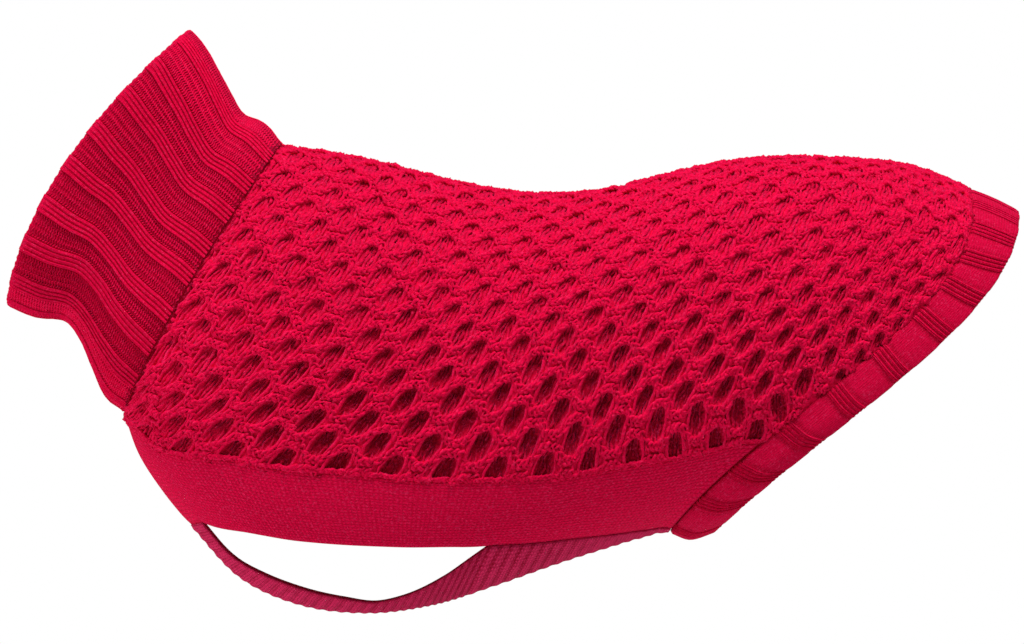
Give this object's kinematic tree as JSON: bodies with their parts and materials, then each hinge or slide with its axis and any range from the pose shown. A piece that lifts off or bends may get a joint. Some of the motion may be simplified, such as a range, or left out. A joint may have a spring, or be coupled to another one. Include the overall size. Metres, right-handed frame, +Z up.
{
  "type": "dog sweater",
  "caption": "Knitted dog sweater in its worn shape: folded rib collar, honeycomb back, leg openings, belly strap and rib hem.",
  "frame": {"origin": "inner face of the sweater's back at its lowest point between shoulders and rump, where it rests on the dog's back", "axes": "+X towards the tail, +Z up, +Y towards the dog's right side, and Y=0 the mirror plane"},
  "size_m": [0.4961, 0.1362, 0.2861],
  "materials": {
    "honeycomb_knit": "matte wool blend, honeycomb tuck stitch",
    "plain_knit": "matte wool blend, fine plain stitch",
    "ridged_knit": "matte wool blend, fine ridges across",
    "rib_knit": "matte wool blend, wide rib"
  },
  "bodies": {
    "root": {"back_panel": "honeycomb_knit", "chest_band": "plain_knit", "belly_panel": "ridged_knit", "collar": "rib_knit", "hem_band": "rib_knit"}
  },
  "joints": []
}
